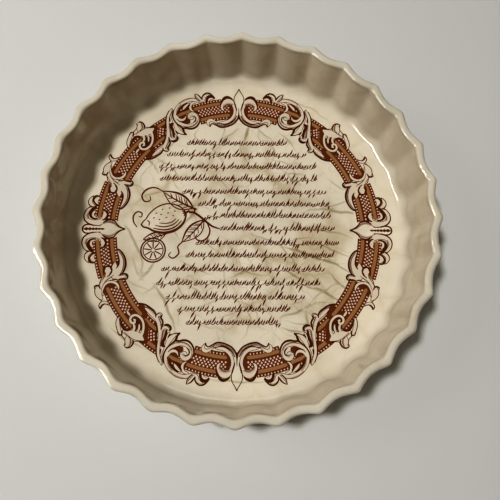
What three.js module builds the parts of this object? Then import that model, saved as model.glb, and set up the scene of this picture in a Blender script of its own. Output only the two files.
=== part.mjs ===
// A round fluted flan dish in glazed stoneware, thrown in one piece.
//
// The dish stands on its foot ring at z = 0 with its axis on +Z, in millimetres. A turned blank is
// revolved from the wall's profile, and the flutes are then pressed into it: sharp ridges that point
// outwards, with round bays that bulge into the dish between them. Ridges lie on +X and +Y.
import * as THREE from "three";

// Driving dimensions.
const RIDGE_RADIUS = 127; // to the flute ridges, at the lip
const HEIGHT = 48; // foot ring to lip
const WALL = 5.3; // wall thickness, measured across the lip
const WALL_TAPER = 4.2; // how much narrower the wall is at its foot than at the lip
const FLOOR_TOP = 6.4; // upper face of the floor above the table
const FLUTES = 32;
const FLUTE_DEPTH = 3.2; // ridge to bay, measured along a radius
const RIDGE_SOFTNESS = 0.16; // 0 is a knife-sharp ridge

// Roundings and the foot.
const LIP_OUTER_ROUND = 2.4;
const LIP_INNER_ROUND = 1.9;
const FLOOR_FILLET = 8;
const BASE_ROUND = 9;
const FOOT_WIDTH = 7;
const FOOT_RECESS = 1.4;
const FOOT_SLOPE = 2; // run of the slope from the foot ring up to the recess
const FLOOR_FALL = 0.4; // slack kept between the floor's flat disc and the fillet's start

// Facets.
const STEPS_PER_FLUTE = 8;
const RIDGE_CROWDING = 0.08; // draws the steps of a flute towards its ridges
const ARC_STEPS = 3;
const FILLET_STEPS = 4;

const wallFootRadius = RIDGE_RADIUS - WALL_TAPER;

// Points of a quarter arc about (cx, cy), each with the share of the flutes' depth it takes.
function arc(cx, cy, radius, from, to, steps, share) {
  return Array.from({ length: steps + 1 }, (_, i) => {
    const t = i / steps;
    const a = THREE.MathUtils.degToRad(THREE.MathUtils.lerp(from, to, t));
    return { r: cx + radius * Math.cos(a), z: cy + radius * Math.sin(a), share: share(t) };
  });
}

// Flutes run at full depth over the wall and die out towards the foot ring and the floor.
const fadingIn = (t) => Math.sin((t * Math.PI) / 2) ** 1.5;
const fadingOut = (t) => fadingIn(1 - t);
const full = () => 1;

// The section from the axis under the dish, out round the wall, and back to the axis on the floor.
function section() {
  const baseCentre = wallFootRadius - BASE_ROUND;
  const footInner = baseCentre - FOOT_WIDTH;
  const lipInnerCentre = RIDGE_RADIUS - WALL + LIP_INNER_ROUND;
  const filletCentre = wallFootRadius - WALL - FLOOR_FILLET;
  return [
    { r: 0, z: FOOT_RECESS, share: 0 },
    { r: footInner - FOOT_SLOPE, z: FOOT_RECESS, share: 0 },
    { r: footInner, z: 0, share: 0 },
    ...arc(baseCentre, BASE_ROUND, BASE_ROUND, -90, 0, ARC_STEPS, fadingIn),
    ...arc(RIDGE_RADIUS - LIP_OUTER_ROUND, HEIGHT - LIP_OUTER_ROUND, LIP_OUTER_ROUND, 0, 90, ARC_STEPS, full),
    ...arc(lipInnerCentre, HEIGHT - LIP_INNER_ROUND, LIP_INNER_ROUND, 90, 180, ARC_STEPS - 1, full),
    ...arc(filletCentre, FLOOR_TOP + FLOOR_FILLET, FLOOR_FILLET, 0, -90, FILLET_STEPS, fadingOut),
    { r: filletCentre - FLOOR_FALL, z: FLOOR_TOP, share: 0 },
    { r: 0, z: FLOOR_TOP, share: 0 },
  ];
}

// How far into a bay the wall lies at a phase of a flute: 0 on a ridge and 1 in mid bay.
function bay(phase) {
  const soft = (x) => Math.sqrt(x * x + RIDGE_SOFTNESS ** 2) - RIDGE_SOFTNESS;
  return soft(Math.sin(phase * Math.PI)) / soft(1);
}

// Revolves the section, then presses the flutes in.
function dishGeometry() {
  const points = section();
  const columns = FLUTES * STEPS_PER_FLUTE;
  const blank = new THREE.LatheGeometry(points.map((p) => new THREE.Vector2(p.r, p.z)), columns);
  const position = blank.getAttribute("position");
  for (let column = 0; column <= columns; column++) {
    const step = (column % STEPS_PER_FLUTE) / STEPS_PER_FLUTE;
    const phase = step - RIDGE_CROWDING * Math.sin(2 * Math.PI * step);
    const flute = Math.floor((column % columns) / STEPS_PER_FLUTE);
    const angle = ((flute + phase) / FLUTES) * 2 * Math.PI;
    points.forEach((p, row) => {
      const r = p.r - FLUTE_DEPTH * p.share * bay(phase);
      position.setXYZ(column * points.length + row, r * Math.cos(angle), r * Math.sin(angle), p.z);
    });
  }
  blank.deleteAttribute("uv");
  blank.computeVertexNormals();
  return blank;
}

function dish() {
  const glaze = new THREE.MeshStandardMaterial({ color: 0xd8caab, roughness: 0.18, metalness: 0 });
  const mesh = new THREE.Mesh(dishGeometry(), glaze);
  mesh.name = "dish";
  return mesh;
}

const flanDish = new THREE.Group();
flanDish.name = "flan_dish";
flanDish.add(dish());

export default flanDish;
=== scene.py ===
# A fluted flan dish in crazed cream glaze, with a scrollwork border printed on its floor.
# Lengths are metres. The print and the cracks are drawn in millimetres from the dish's centre.
import math
import random

import bpy
from mathutils import Euler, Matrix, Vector


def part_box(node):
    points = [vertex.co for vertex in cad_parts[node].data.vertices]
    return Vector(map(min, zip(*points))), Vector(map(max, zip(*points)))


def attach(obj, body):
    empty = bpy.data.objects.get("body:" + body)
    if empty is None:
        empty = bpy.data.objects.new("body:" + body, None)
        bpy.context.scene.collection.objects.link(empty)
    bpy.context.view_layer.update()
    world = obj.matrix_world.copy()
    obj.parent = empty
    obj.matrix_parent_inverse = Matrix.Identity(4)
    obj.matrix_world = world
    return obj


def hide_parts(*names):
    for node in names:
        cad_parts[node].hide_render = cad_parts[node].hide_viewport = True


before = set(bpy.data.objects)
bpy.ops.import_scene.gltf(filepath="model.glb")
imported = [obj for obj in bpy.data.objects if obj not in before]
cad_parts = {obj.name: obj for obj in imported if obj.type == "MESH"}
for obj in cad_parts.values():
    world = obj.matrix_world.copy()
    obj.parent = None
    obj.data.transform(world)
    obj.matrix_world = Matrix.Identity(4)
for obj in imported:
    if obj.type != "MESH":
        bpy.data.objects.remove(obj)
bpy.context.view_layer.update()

mm = 0.001
scene = bpy.context.scene
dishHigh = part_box("dish")[1]    # the solid's far corner: its radius over the ridges, and its height


# Small helpers for node trees. They return outputs, so that the call for one node can stand in another's.

def addNode(tree, kind, plugs=None, **settings):
    # plugs maps a socket's name or number to a value, or to the output that feeds it
    node = tree.nodes.new(kind)
    for name, value in settings.items():
        setattr(node, name, value)
    for socket, value in (plugs or {}).items():
        if isinstance(value, bpy.types.NodeSocket):
            tree.links.new(value, node.inputs[socket])
        else:
            node.inputs[socket].default_value = value
    return node.outputs


def first(tree, kind, plugs=None, **settings):
    # for a node of which only the first output is used
    return addNode(tree, kind, plugs, **settings)[0]


def calc(tree, operation, *values):
    return first(tree, "ShaderNodeMath", dict(enumerate(values)), operation=operation)


def times(tree, *values):
    product = values[0]
    for value in values[1:]:
        product = calc(tree, "MULTIPLY", product, value)
    return product


def vectorCalc(tree, operation, *values):
    outputs = addNode(tree, "ShaderNodeVectorMath", dict(enumerate(values)), operation=operation)
    return outputs["Value" if operation in ("LENGTH", "DISTANCE") else "Vector"]


def scaled(tree, vector, amount):
    return first(tree, "ShaderNodeVectorMath", {0: vector, "Scale": amount}, operation="SCALE")


def remap(tree, value, low, high, toLow=0.0, toHigh=1.0, smooth=False):
    plugs = {"Value": value, "From Min": low, "From Max": high, "To Min": toLow, "To Max": toHigh}
    return first(tree, "ShaderNodeMapRange", plugs, interpolation_type="SMOOTHSTEP" if smooth else "LINEAR")


def combine(tree, **parts):
    return first(tree, "ShaderNodeCombineXYZ", parts)


def separate(tree, vector):
    return addNode(tree, "ShaderNodeSeparateXYZ", {0: vector})


def noise(tree, vector, scale, detail):
    return addNode(tree, "ShaderNodeTexNoise", {"Vector": vector, "Scale": scale, "Detail": detail})


def centred(tree, noiseColour):
    # a noise's colour as a shift that goes every way
    return vectorCalc(tree, "SUBTRACT", noiseColour, (0.5, 0.5, 0.5))


def tinted(tree, share, colour, tint):
    return addNode(tree, "ShaderNodeMix", {"Factor": share, 6: colour, 7: (*tint, 1)},
                   data_type="RGBA", blend_type="MULTIPLY")[2]


def stored(tree, geometry, name, value, kind="FLOAT"):
    return first(tree, "GeometryNodeStoreNamedAttribute",
                 {"Geometry": geometry, "Name": name, "Value": value}, data_type=kind, domain="POINT")


def readBack(tree, name):
    return first(tree, "GeometryNodeInputNamedAttribute", {"Name": name}, data_type="FLOAT")


def bentCurve(tree, lines):
    return first(tree, "GeometryNodeCurveSplineType", {"Curve": lines}, spline_type="CATMULL_ROM")


def startTree(name, kind, inputs, outputs):
    # inputs and outputs are (name, socket kind, default) rows
    tree = bpy.data.node_groups.new(name, kind)
    for rows, way in ((inputs, "INPUT"), (outputs, "OUTPUT")):
        for label, socketKind, value in rows:
            socket = tree.interface.new_socket(label, in_out=way, socket_type="NodeSocket" + socketKind)
            if value is not None:
                socket.default_value = value
    return tree, tree.nodes.new("NodeGroupInput").outputs, tree.nodes.new("NodeGroupOutput").inputs


def socketRows(values):
    # rows for startTree from a dictionary whose keys are the names of the inputs
    kinds = {float: "Float", int: "Int", tuple: "Vector"}
    return [(label, kinds[type(value)], value) for label, value in values.items()]


# Meshes and curves.

def settle(source, name, tree, values):
    # runs a Geometry Nodes tree on the source object and keeps the result as a plain mesh object
    scene.collection.objects.link(source)
    modifier = source.modifiers.new(tree.name, "NODES")
    modifier.node_group = tree
    for socket in tree.interface.items_tree:
        if socket.name in values and socket.in_out == "INPUT":
            modifier[socket.identifier] = values[socket.name]
    depsgraph = bpy.context.evaluated_depsgraph_get()
    mesh = bpy.data.meshes.new_from_object(
        source.evaluated_get(depsgraph), preserve_all_data_layers=True, depsgraph=depsgraph)
    source.modifiers.remove(modifier)
    bpy.data.objects.remove(source)
    piece = bpy.data.objects.new(name, mesh)
    mesh.name = name
    scene.collection.objects.link(piece)
    return piece


def drawn(lines):
    # a curve object from (x, y, width) points in millimetres
    curve = bpy.data.curves.new("drawn", "CURVE")
    curve.dimensions = "3D"
    for line in lines:
        spline = curve.splines.new("POLY")
        spline.points.add(len(line) - 1)
        for point, (x, y, width) in zip(spline.points, line):
            point.co = (x * mm, y * mm, 0, 1)
            point.radius = width * mm / 2
    return bpy.data.objects.new("drawn", curve)


# Camera, floor and lights.

studio = {
    "cameraPlace": (0.00254, -0.08667, 0.33353),
    "cameraTurn": (12.4725, -1.0565, 0.7629),  # degrees, looking down at the tilt of a leaning dish
    "lens": 34.92,
    "sensor": 36,
    "clipStart": 0.01,
    "floorSize": 6.0,
    "floorColour": (0.62, 0.625, 0.615),
    "worldColour": (1.0, 0.9, 0.72),
    "worldStrength": 0.054,
    "look": "Very High Contrast",
}

lamps = {
    # name: place, width, height, watts, colour, lights the surfaces, seen in reflections
    "overhead": ((-0.5, 0.07, 1.5), 0.17, 0.17, 11.3, (1.0, 1.0, 1.0), True, False),
    "ceiling": ((0.0, 0.0, 1.7), 0.5, 0.5, 2.5, (1.0, 0.91, 0.75), True, False),
    "side": ((-0.82, 0.14, 0.72), 0.5, 0.3, 0.85, (1.0, 0.98, 0.96), True, False),
    "window": ((-0.82, -0.17, 0.72), 0.55, 0.06, 4.8, (1.0, 0.97, 0.93), False, True),
    "lowWindow": ((-1.5, -0.6, 0.225), 1.1, 0.13, 27.0, (1.0, 0.97, 0.93), False, True),
    "nearGlow": ((0.0, -1.1, 0.65), 0.8, 0.6, 1.5, (1.0, 0.98, 0.95), False, True),
    "farGlow": ((0.0, 1.3, 0.5), 0.8, 0.4, 1.6, (0.97, 0.98, 1.0), False, True),
}


def makeCamera():
    camera = bpy.data.objects.new("camera", bpy.data.cameras.new("camera"))
    camera.location = studio["cameraPlace"]
    camera.rotation_euler = Euler([math.radians(turn) for turn in studio["cameraTurn"]])
    camera.data.lens = studio["lens"]
    camera.data.sensor_width = studio["sensor"]
    camera.data.clip_start = studio["clipStart"]
    scene.collection.objects.link(camera)
    scene.camera = camera


def makeStudioFloor():
    half = studio["floorSize"] / 2
    mesh = bpy.data.meshes.new("studio_floor")
    corners = [(-half, -half, 0), (half, -half, 0), (half, half, 0), (-half, half, 0)]
    mesh.from_pydata(corners, [], [(0, 1, 2, 3)])
    floor = bpy.data.objects.new("studio_floor", mesh)
    paint = bpy.data.materials.new("studioFloor")
    paint.use_nodes = True
    shader = paint.node_tree.nodes["Principled BSDF"]
    shader.inputs["Base Color"].default_value = (*studio["floorColour"], 1)
    shader.inputs["Roughness"].default_value = 1.0
    shader.inputs["Specular IOR Level"].default_value = 0.0
    mesh.materials.append(paint)
    scene.collection.objects.link(floor)


def lightStudio():
    world = bpy.data.worlds.new("studio")
    world.use_nodes = True
    background = world.node_tree.nodes["Background"]
    background.inputs["Color"].default_value = (*studio["worldColour"], 1)
    background.inputs["Strength"].default_value = studio["worldStrength"]
    scene.world = world
    for name, (place, width, tall, watts, colour, lights, glints) in lamps.items():
        lamp = bpy.data.lights.new(name, "AREA")
        lamp.energy = watts
        lamp.shape = "RECTANGLE"
        lamp.size = width
        lamp.size_y = tall
        lamp.color = colour
        holder = bpy.data.objects.new(name, lamp)
        holder.location = place
        holder.visible_diffuse = lights
        holder.visible_glossy = glints
        holder.rotation_euler = (-Vector(place)).to_track_quat("-Z", "Y").to_euler()
        scene.collection.objects.link(holder)
    scene.view_settings.view_transform = "Standard"
    scene.view_settings.look = studio["look"]
    print("studio lit by", len(lamps), "lamps")


# The finishes. Fine cracks are a pattern in the glaze, and the old stained ones are drawn on the floor.

craze = {
    "cellScale": 40.0,
    "lineWidth": 0.02,
    "stainWidth": 0.22,         # how far stain has crept in from a crack, as a share of a cell
    "wobble": (55.0, 3.0),      # scale and detail of a noise, as all through these finishes
    "wobbleReach": 0.012,
    # two nets of cracks: cell scale, line width, and the scale of the patches where they show
    "nets": ((1.0, 1.0, 7.0), (2.3, 1.6, 16.0)),
    "patchDetail": 2.0,
    "patchEdge": (0.4, 0.62),   # values of the noise between which the cracks fade in
    "clouds": (26.0, 4.0),
    "cloudEdge": (0.4, 0.6),
    "mottle": (17.0, 5.0),
}

glaze = {
    "colour": (0.68, 0.63, 0.532),
    "roughness": 0.1,
    "roughnessSwing": 0.25,     # the share by which it rises and falls
    "ior": 1.5,
    "ripple": (90.0, 2.0),
    "rippleStrength": 0.12,
    "rippleHeight": 0.0006,
    "crackStrength": 0.25,
    "stainStrength": 0.6,
    "mottleStrength": 0.12,
    "mottleEdge": (0.3, 0.7),
    "crazedWithin": (0.055, 0.1),   # radii between which crazing and stain fade
    "crazedOutside": 0.3,           # to this share
    "stainTint": (0.66, 0.59, 0.44),
    "crackTint": (0.42, 0.36, 0.24),
    # painted light and shade, by height: the walls are painted lighter and browner than the floor, and the
    # lip's top greyer, for the light and reflection that fall there: heights to fade between, and tint
    "paintedLightTints": (((0.012, 0.03), (1.05, 1.045, 1.03)), ((0.044, 0.0475), (0.88, 0.896, 0.925))),
    "drawnCrackTint": (0.55, 0.5, 0.39),
    "drawnCrackPatches": (0.3, 0.65, 0.6, 1.3),     # two values of the mottle, and a crack's strength there
}

inks = {
    "redBrownInk": (0.1, 0.03, 0.008),
    "groundInk": (0.15, 0.05, 0.018),
    "tanInk": (0.335, 0.19, 0.092),
    "pinkWhiteInk": (0.66, 0.51, 0.43),
    "leafInk": (0.63, 0.56, 0.465),
    "shadeInk": (0.17, 0.06, 0.035),
    "scriptInk": (0.13, 0.036, 0.019),
}
inkRoughness = 0.2


def crazeGroup():
    # fine cracks in the glaze, and the brown stain that has crept in round them
    tree, given, put = startTree(
        "glazeCraze", "ShaderNodeTree",
        [("Vector", "Vector", None), ("Cell Scale", "Float", craze["cellScale"]),
         ("Line Width", "Float", craze["lineWidth"]), ("Stain Width", "Float", craze["stainWidth"])],
        [("Lines", "Float", None), ("Stain", "Float", None), ("Mottle", "Float", None)])
    place = given["Vector"]
    wobble = centred(tree, noise(tree, place, *craze["wobble"])["Color"])
    warped = vectorCalc(tree, "ADD", place, scaled(tree, wobble, craze["wobbleReach"]))
    nets = []
    edges = []
    for scaleShare, widthShare, patchScale in craze["nets"]:
        scale = times(tree, given["Cell Scale"], scaleShare)
        edge = addNode(tree, "ShaderNodeTexVoronoi", {"Vector": warped, "Scale": scale},
                       feature="DISTANCE_TO_EDGE")["Distance"]
        line = remap(tree, edge, 0.0, times(tree, given["Line Width"], widthShare), 1.0, 0.0, smooth=True)
        patches = noise(tree, place, patchScale, craze["patchDetail"])[0]
        nets.append(times(tree, line, remap(tree, patches, *craze["patchEdge"])))
        edges.append(edge)
    crept = remap(tree, edges[0], 0.0, given["Stain Width"], 1.0, 0.0, smooth=True)
    clouds = remap(tree, noise(tree, place, *craze["clouds"])[0], *craze["cloudEdge"])
    tree.links.new(calc(tree, "MAXIMUM", *nets), put["Lines"])
    tree.links.new(times(tree, crept, clouds), put["Stain"])
    tree.links.new(noise(tree, place, *craze["mottle"])[0], put["Mottle"])
    return tree


def stainAndPaintedLightGroup(crazing):
    # lays stain, cracks and mottling over any colour under the glaze, and painted light and shade by height
    tree, given, put = startTree(
        "stainAndPaintedLightUnderGlaze", "ShaderNodeTree",
        [("Color", "Color", None), ("Vector", "Vector", None), ("Crack Strength", "Float", None),
         ("Stain Strength", "Float", None), ("Mottle Strength", "Float", None),
         ("Crack Near", "Float", None), ("Crack Way", "Vector", None)],
        [("Color", "Color", None)])
    marks = addNode(tree, "ShaderNodeGroup", {"Vector": given["Vector"]}, node_tree=crazing)
    apart = separate(tree, given["Vector"])
    outward = vectorCalc(tree, "LENGTH", combine(tree, X=apart["X"], Y=apart["Y"]))
    crazed = remap(tree, outward, *glaze["crazedWithin"], 1.0, glaze["crazedOutside"], smooth=True)
    tone = remap(tree, marks["Mottle"], *glaze["mottleEdge"], -0.5, 0.5)
    tone = calc(tree, "ADD", times(tree, tone, given["Mottle Strength"]), 1.0)
    colour = scaled(tree, given["Color"], tone)
    stainShare = times(tree, marks["Stain"], given["Stain Strength"], crazed)
    colour = tinted(tree, stainShare, colour, glaze["stainTint"])
    crackShare = times(tree, marks["Lines"], given["Crack Strength"], crazed)
    colour = tinted(tree, crackShare, colour, glaze["crackTint"])
    # painted light and shade: the walls lighter and browner, the lip's top greyer, faded in by height
    for heights, tint in glaze["paintedLightTints"]:
        colour = tinted(tree, remap(tree, apart["Z"], *heights, smooth=True), colour, tint)
    # the drawn cracks, a little uneven along their length
    patchy = remap(tree, marks["Mottle"], *glaze["drawnCrackPatches"])
    way = separate(tree, given["Crack Way"])
    aside = vectorCalc(tree, "LENGTH", combine(tree, X=way["X"], Y=way["Y"]))
    soaked = remap(tree, aside, 0.0, way["Z"], 1.0, 0.0, smooth=True)
    drawnShare = times(tree, soaked, given["Crack Near"], patchy)
    tree.links.new(tinted(tree, drawnShare, colour, glaze["drawnCrackTint"]), put["Color"])
    return tree


def creamGlaze():
    material = bpy.data.materials.new("creamGlaze")
    material.use_nodes = True
    tree = material.node_tree
    shader = tree.nodes["Principled BSDF"].inputs
    place = addNode(tree, "ShaderNodeTexCoord")["Object"]
    near = addNode(tree, "ShaderNodeAttribute", attribute_name="crackNear")["Fac"]
    way = addNode(tree, "ShaderNodeAttribute", attribute_name="crackWay")["Vector"]
    stainAndPaintedLight = addNode(tree, "ShaderNodeGroup",
                   {"Color": (*glaze["colour"], 1), "Vector": place, "Crack Near": near, "Crack Way": way,
                    "Crack Strength": glaze["crackStrength"], "Stain Strength": glaze["stainStrength"],
                    "Mottle Strength": glaze["mottleStrength"]}, node_tree=stainAndPaintedLightGroup(crazeGroup()))
    tree.links.new(stainAndPaintedLight["Color"], shader["Base Color"])
    ripple = noise(tree, place, *glaze["ripple"])[0]
    roughness, swing = glaze["roughness"], glaze["roughnessSwing"]
    sheen = remap(tree, ripple, 0.0, 1.0, roughness * (1 - swing), roughness * (1 + swing))
    tree.links.new(sheen, shader["Roughness"])
    bump = first(tree, "ShaderNodeBump", {"Height": ripple, "Strength": glaze["rippleStrength"],
                                          "Distance": glaze["rippleHeight"]})
    tree.links.new(bump, shader["Normal"])
    shader["IOR"].default_value = glaze["ior"]
    return material


def ink(name):
    # a flat ink colour under the same clear glaze
    material = bpy.data.materials.new(name)
    material.use_nodes = True
    shader = material.node_tree.nodes["Principled BSDF"].inputs
    shader["Base Color"].default_value = (*inks[name], 1)
    shader["Roughness"].default_value = inkRoughness
    shader["IOR"].default_value = glaze["ior"]
    return material


# The dish itself: a turned blank, with flutes pressed into it by Geometry Nodes.

dish = {
    "flutes": 32,
    "innerShare": 0.76,         # share of their depth that the flutes keep inside
    "wall": 0.0062,
    "wallLow": 0.0048,          # thickness at the foot of the wall
    "wallTaper": 0.0042,        # the foot of the wall lies this far inside the ridges of the lip
    "floorTop": 0.0064,
    "lipOuterRound": 0.0029,
    "lipInnerRound": 0.0022,
    "fillet": 0.01,
    "filletFade": 4.0,          # high: the flutes are lost near the top of the fillet
    "baseFade": 1.5,            # low: they run far down the rounding under the wall
    "floorRing": 0.00115,       # the floor is meshed this finely, for the stains drawn on it
    "floorFall": 0.0004,        # from the end of the fillet to the flat of the floor
    "baseRound": 0.009,
    "footWidth": 0.007,
    "footRecess": 0.0014,
    "footSlope": 0.002,
    "footBend": (0.3, 0.25),    # shares of the slope and of the recess where the slope bends
    "stepsPerFlute": 18,
    "ridgeCrowding": 0.11,      # draws those steps towards the ridges
    # rows of faces up the wall
    "rows": {"base": 10, "outside": 8, "outerLip": 7, "innerLip": 6, "inside": 10, "fillet": 12},
    "mainChart": (0.345, 0.345, 0.335),     # middle and radius of the two round charts in the map
    "underChart": (0.82, 0.82, 0.17),
}

# Inputs of the tree. Its "inward" attribute is 0 outside, 1 at the inner lip and 2 at the wall's foot.

flutes = {
    "Depth": 0.0032,
    "Unevenness": 0.00022,
    "Uneven Scale": 38.0,
    "Outer Softness": 0.14,     # how round the ridges are outside
    "Inner Softness": 0.22,
    "Low Softness": 0.34,       # and how much rounder they get inside, going down
    "Softest Inward": 1.6,      # to this value of "inward"
    "Outer Wear": 0.35,         # extra roundness on the worn side
    "Inner Wear": 0.7,
    "Worn Depth": 0.9,          # share of the depth that is lost there, low down inside
    "Worn Below": 0.4,          # and the share of the wall's height over which it is lost
    "Worn Side": math.radians(200),
    "Wear Starts": -0.3,        # cosines of the angle from the worn side
    "Wear Full": 0.75,
}

stains = {
    "Crack Step": 0.0004,       # distance between the points that a crack is made of
    "Crack Wander": (0.009, 0.009, 0.0),
    "Wander Scale": 48.0,
    "Crack Spread": 1.75,       # reach of the stain, in half widths of the crack
    "Darkest Width": 0.0024,    # a crack this wide is stained in full
    "Fade Share": 1.3,          # the mark counts up to this many reaches from the crack
    "Fade Reach": 0.0012,       # and this much further
}

# Old cracks in the glaze that have drawn in stain: x, y and width in millimetres; wide ones are dark.

cracks = [
    [(-80, 1, 1.2), (-75, -6, 1.8), (-70, -14, 1.8), (-66.5, -25, 1.6), (-65, -36, 1.2)],
    [(-73, -22, 0.8), (-69, -31, 1.6), (-63, -38, 0.8)],
    [(-56, -23, 0.8), (-60, -29, 2.2), (-66, -38, 1.2)],
    [(-58, -40, 1), (-53, -46, 2), (-48, -52, 2), (-45, -60, 1.8), (-41, -72, 0.9)],
    [(-52, -35, 0.6), (-58, -42, 1.4), (-66, -47, 0.6)],
    [(-79, -34, 0.5), (-70, -41, 1.3), (-60, -44, 0.6)],
    [(5, 79, 1.6), (4, 73, 2.4), (2, 66, 1)],
    [(-13, 80, 0.8), (-12, 74, 1.3), (-13, 67, 0.6)],
    [(-3, 78, 0.6), (-8, 71, 1.3), (-15, 64, 0.6)],
    [(13, 78, 0.8), (17, 73, 1.4), (23, 67, 0.6)],
    [(26, 73, 0.6), (33, 68, 1.3), (40, 60, 0.6)],
    [(-44, 69, 0.6), (-49, 62, 1.2), (-55, 52, 0.6)],
    [(-69, 53, 0.8), (-64, 48, 1.7), (-59, 40, 0.8)],
    [(-62, 52, 0.6), (-56, 48, 1.2), (-48, 46, 0.6)],
    [(44, 12, 0.8), (56, 15.5, 1.8), (68, 15, 2.2), (80, 13, 1.4)],
    [(58, 17, 0.6), (67, 20, 1.5), (77, 24, 0.8)],
    [(31, -11, 1), (44, -14, 2), (60, -21, 2.2), (77, -30, 1)],
    [(48, -8, 0.6), (62, -13, 1.4), (79, -20, 0.6)],
    [(47, 1, 0.6), (63, -1, 1.4), (79, -5, 0.6)],
    [(39, -38, 0.8), (54, -42, 1.8), (66, -48, 1.6), (75, -56, 0.6)],
    [(45, -52, 0.6), (56, -44, 1.3), (70, -38, 0.6)],
    [(27, -60, 0.8), (38, -57, 1.9), (52, -50, 1.4), (66, -50, 0.6)],
    [(44, -56, 0.8), (47, -62, 2), (48, -71, 0.8)],
    [(29, -67, 0.8), (38, -69, 1.8), (49, -69, 0.8)],
    [(62, -30, 0.6), (68, -38, 1.5), (79, -43, 0.6)],
    [(-41, -21, 0.6), (-31, -27, 1.6), (-19, -33, 0.6)],
    [(-35, -37, 0.6), (-28, -43, 1.5), (-21, -51, 0.6)],
    [(-31, -54, 0.6), (-20, -51, 1.4), (-7, -46, 0.6)],
    [(-13, -63, 0.6), (-2, -58, 1.3), (11, -51, 0.6)],
    [(-30, 15, 0.8), (-35, 9, 2), (-41, 2, 0.8)],
    [(-38, 19, 0.6), (-34, 13, 1.5), (-29, 4, 0.6)],
    [(-49, 5, 0.6), (-45, -1, 1.4), (-41, -8, 0.6)],
    [(6, -1, 0.6), (18, -6, 1.6), (30, -13, 1.4), (41, -25, 0.6)],
    [(18, 8, 0.6), (24, 16, 1.3), (34, 23, 0.6)],
    [(-1, 63, 0.6), (1, 57, 1.4), (6, 49, 0.6)],
    [(-23, 61, 0.6), (-17, 56, 1.2), (-10, 47, 0.6)],
    [(29, 44, 0.6), (37, 41, 1.4), (46, 41, 0.6)],
    [(-19, 41, 0.6), (-13, 36, 1.2), (-6, 28, 0.6)],
    [(29, -27, 0.6), (38, -32, 1.6), (48, -37, 0.6)],
    [(-6, -35, 0.6), (3, -31, 1.3), (12, -23, 0.6)],
    [(-20, -102, 0.6), (-2, -102.5, 1.4), (24, -102, 0.6)],
    [(-84, -68, 0.6), (-74, -75, 1.6), (-58, -84, 0.6)],
    [(30, 102, 0.5), (52, 92, 1.3), (66, 82, 0.5)],
    [(86, 60, 0.5), (93, 48, 1.2), (98, 34, 0.5)],
]

stray = {
    "count": 70,
    "within": 80,               # millimetres
    "length": (10, 30),
    "width": (0.5, 1.3),
    "heading": (-35, 40),       # degrees: middle and spread
    "bow": 0.55,                # of half the length, either way
    "tip": 0.4,                 # width of the ends, as a share of the middle's
    "seed": 11,
}


def dishSection():
    # from the axis under the dish, round the wall and back to the axis:
    # radius, height, share of the flutes' depth, and the "inward" attribute
    ridge = dishHigh.x
    height = dishHigh.z
    foot = ridge - dish["wallTaper"]
    deep = dish["innerShare"]
    rows = dish["rows"]
    section = []

    def arc(cx, cz, radius, start, end, steps, share, inward):
        for i in range(steps + 1):
            t = i / steps
            a = math.radians(start + (end - start) * t)
            section.append((cx + radius * math.cos(a), cz + radius * math.sin(a), share(t), inward(t)))

    def wall(r1, z1, steps, share, inward):
        # evenly spaced rows from the last point to where the next arc starts
        r0, z0 = section[-1][:2]
        for i in range(1, steps):
            t = i / steps
            section.append((r0 + (r1 - r0) * t, z0 + (z1 - z0) * t, share, inward(t)))

    base = dish["baseRound"]
    recess = dish["footRecess"]
    slope = dish["footSlope"]
    bendOut, bendUp = dish["footBend"]
    footInner = foot - base - dish["footWidth"]
    section.append((0, recess, 0, 0))
    section.append((footInner - slope, recess, 0, 0))
    section.append((footInner - slope * bendOut, recess * bendUp, 0, 0))
    section.append((footInner, 0, 0, 0))
    arc(foot - base, base, base, -90, 0, rows["base"],
        lambda t: math.sin(t * math.pi / 2) ** dish["baseFade"], lambda t: 0)
    outer = dish["lipOuterRound"]
    wall(ridge, height - outer, rows["outside"], 1, lambda t: 0)
    arc(ridge - outer, height - outer, outer, 0, 90, rows["outerLip"], lambda t: 1, lambda t: 0.5 * t)
    inner = dish["lipInnerRound"]
    arc(ridge - dish["wall"] + inner, height - inner, inner, 90, 180, rows["innerLip"],
        lambda t: 1 + (deep - 1) * t, lambda t: 0.5 + 0.5 * t)
    fillet = dish["fillet"]
    filletCentre = foot - dish["wallLow"] - fillet
    wall(filletCentre + fillet, dish["floorTop"] + fillet, rows["inside"], deep, lambda t: 1 + t)
    arc(filletCentre, dish["floorTop"] + fillet, fillet, 0, -90, rows["fillet"],
        lambda t: deep * math.sin((1 - t) * math.pi / 2) ** dish["filletFade"], lambda t: 2)
    flat = filletCentre - dish["floorFall"]
    rings = round(flat / dish["floorRing"])
    section.extend((flat * (1 - i / rings), dish["floorTop"], 0, 2) for i in range(rings + 1))
    return section


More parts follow.
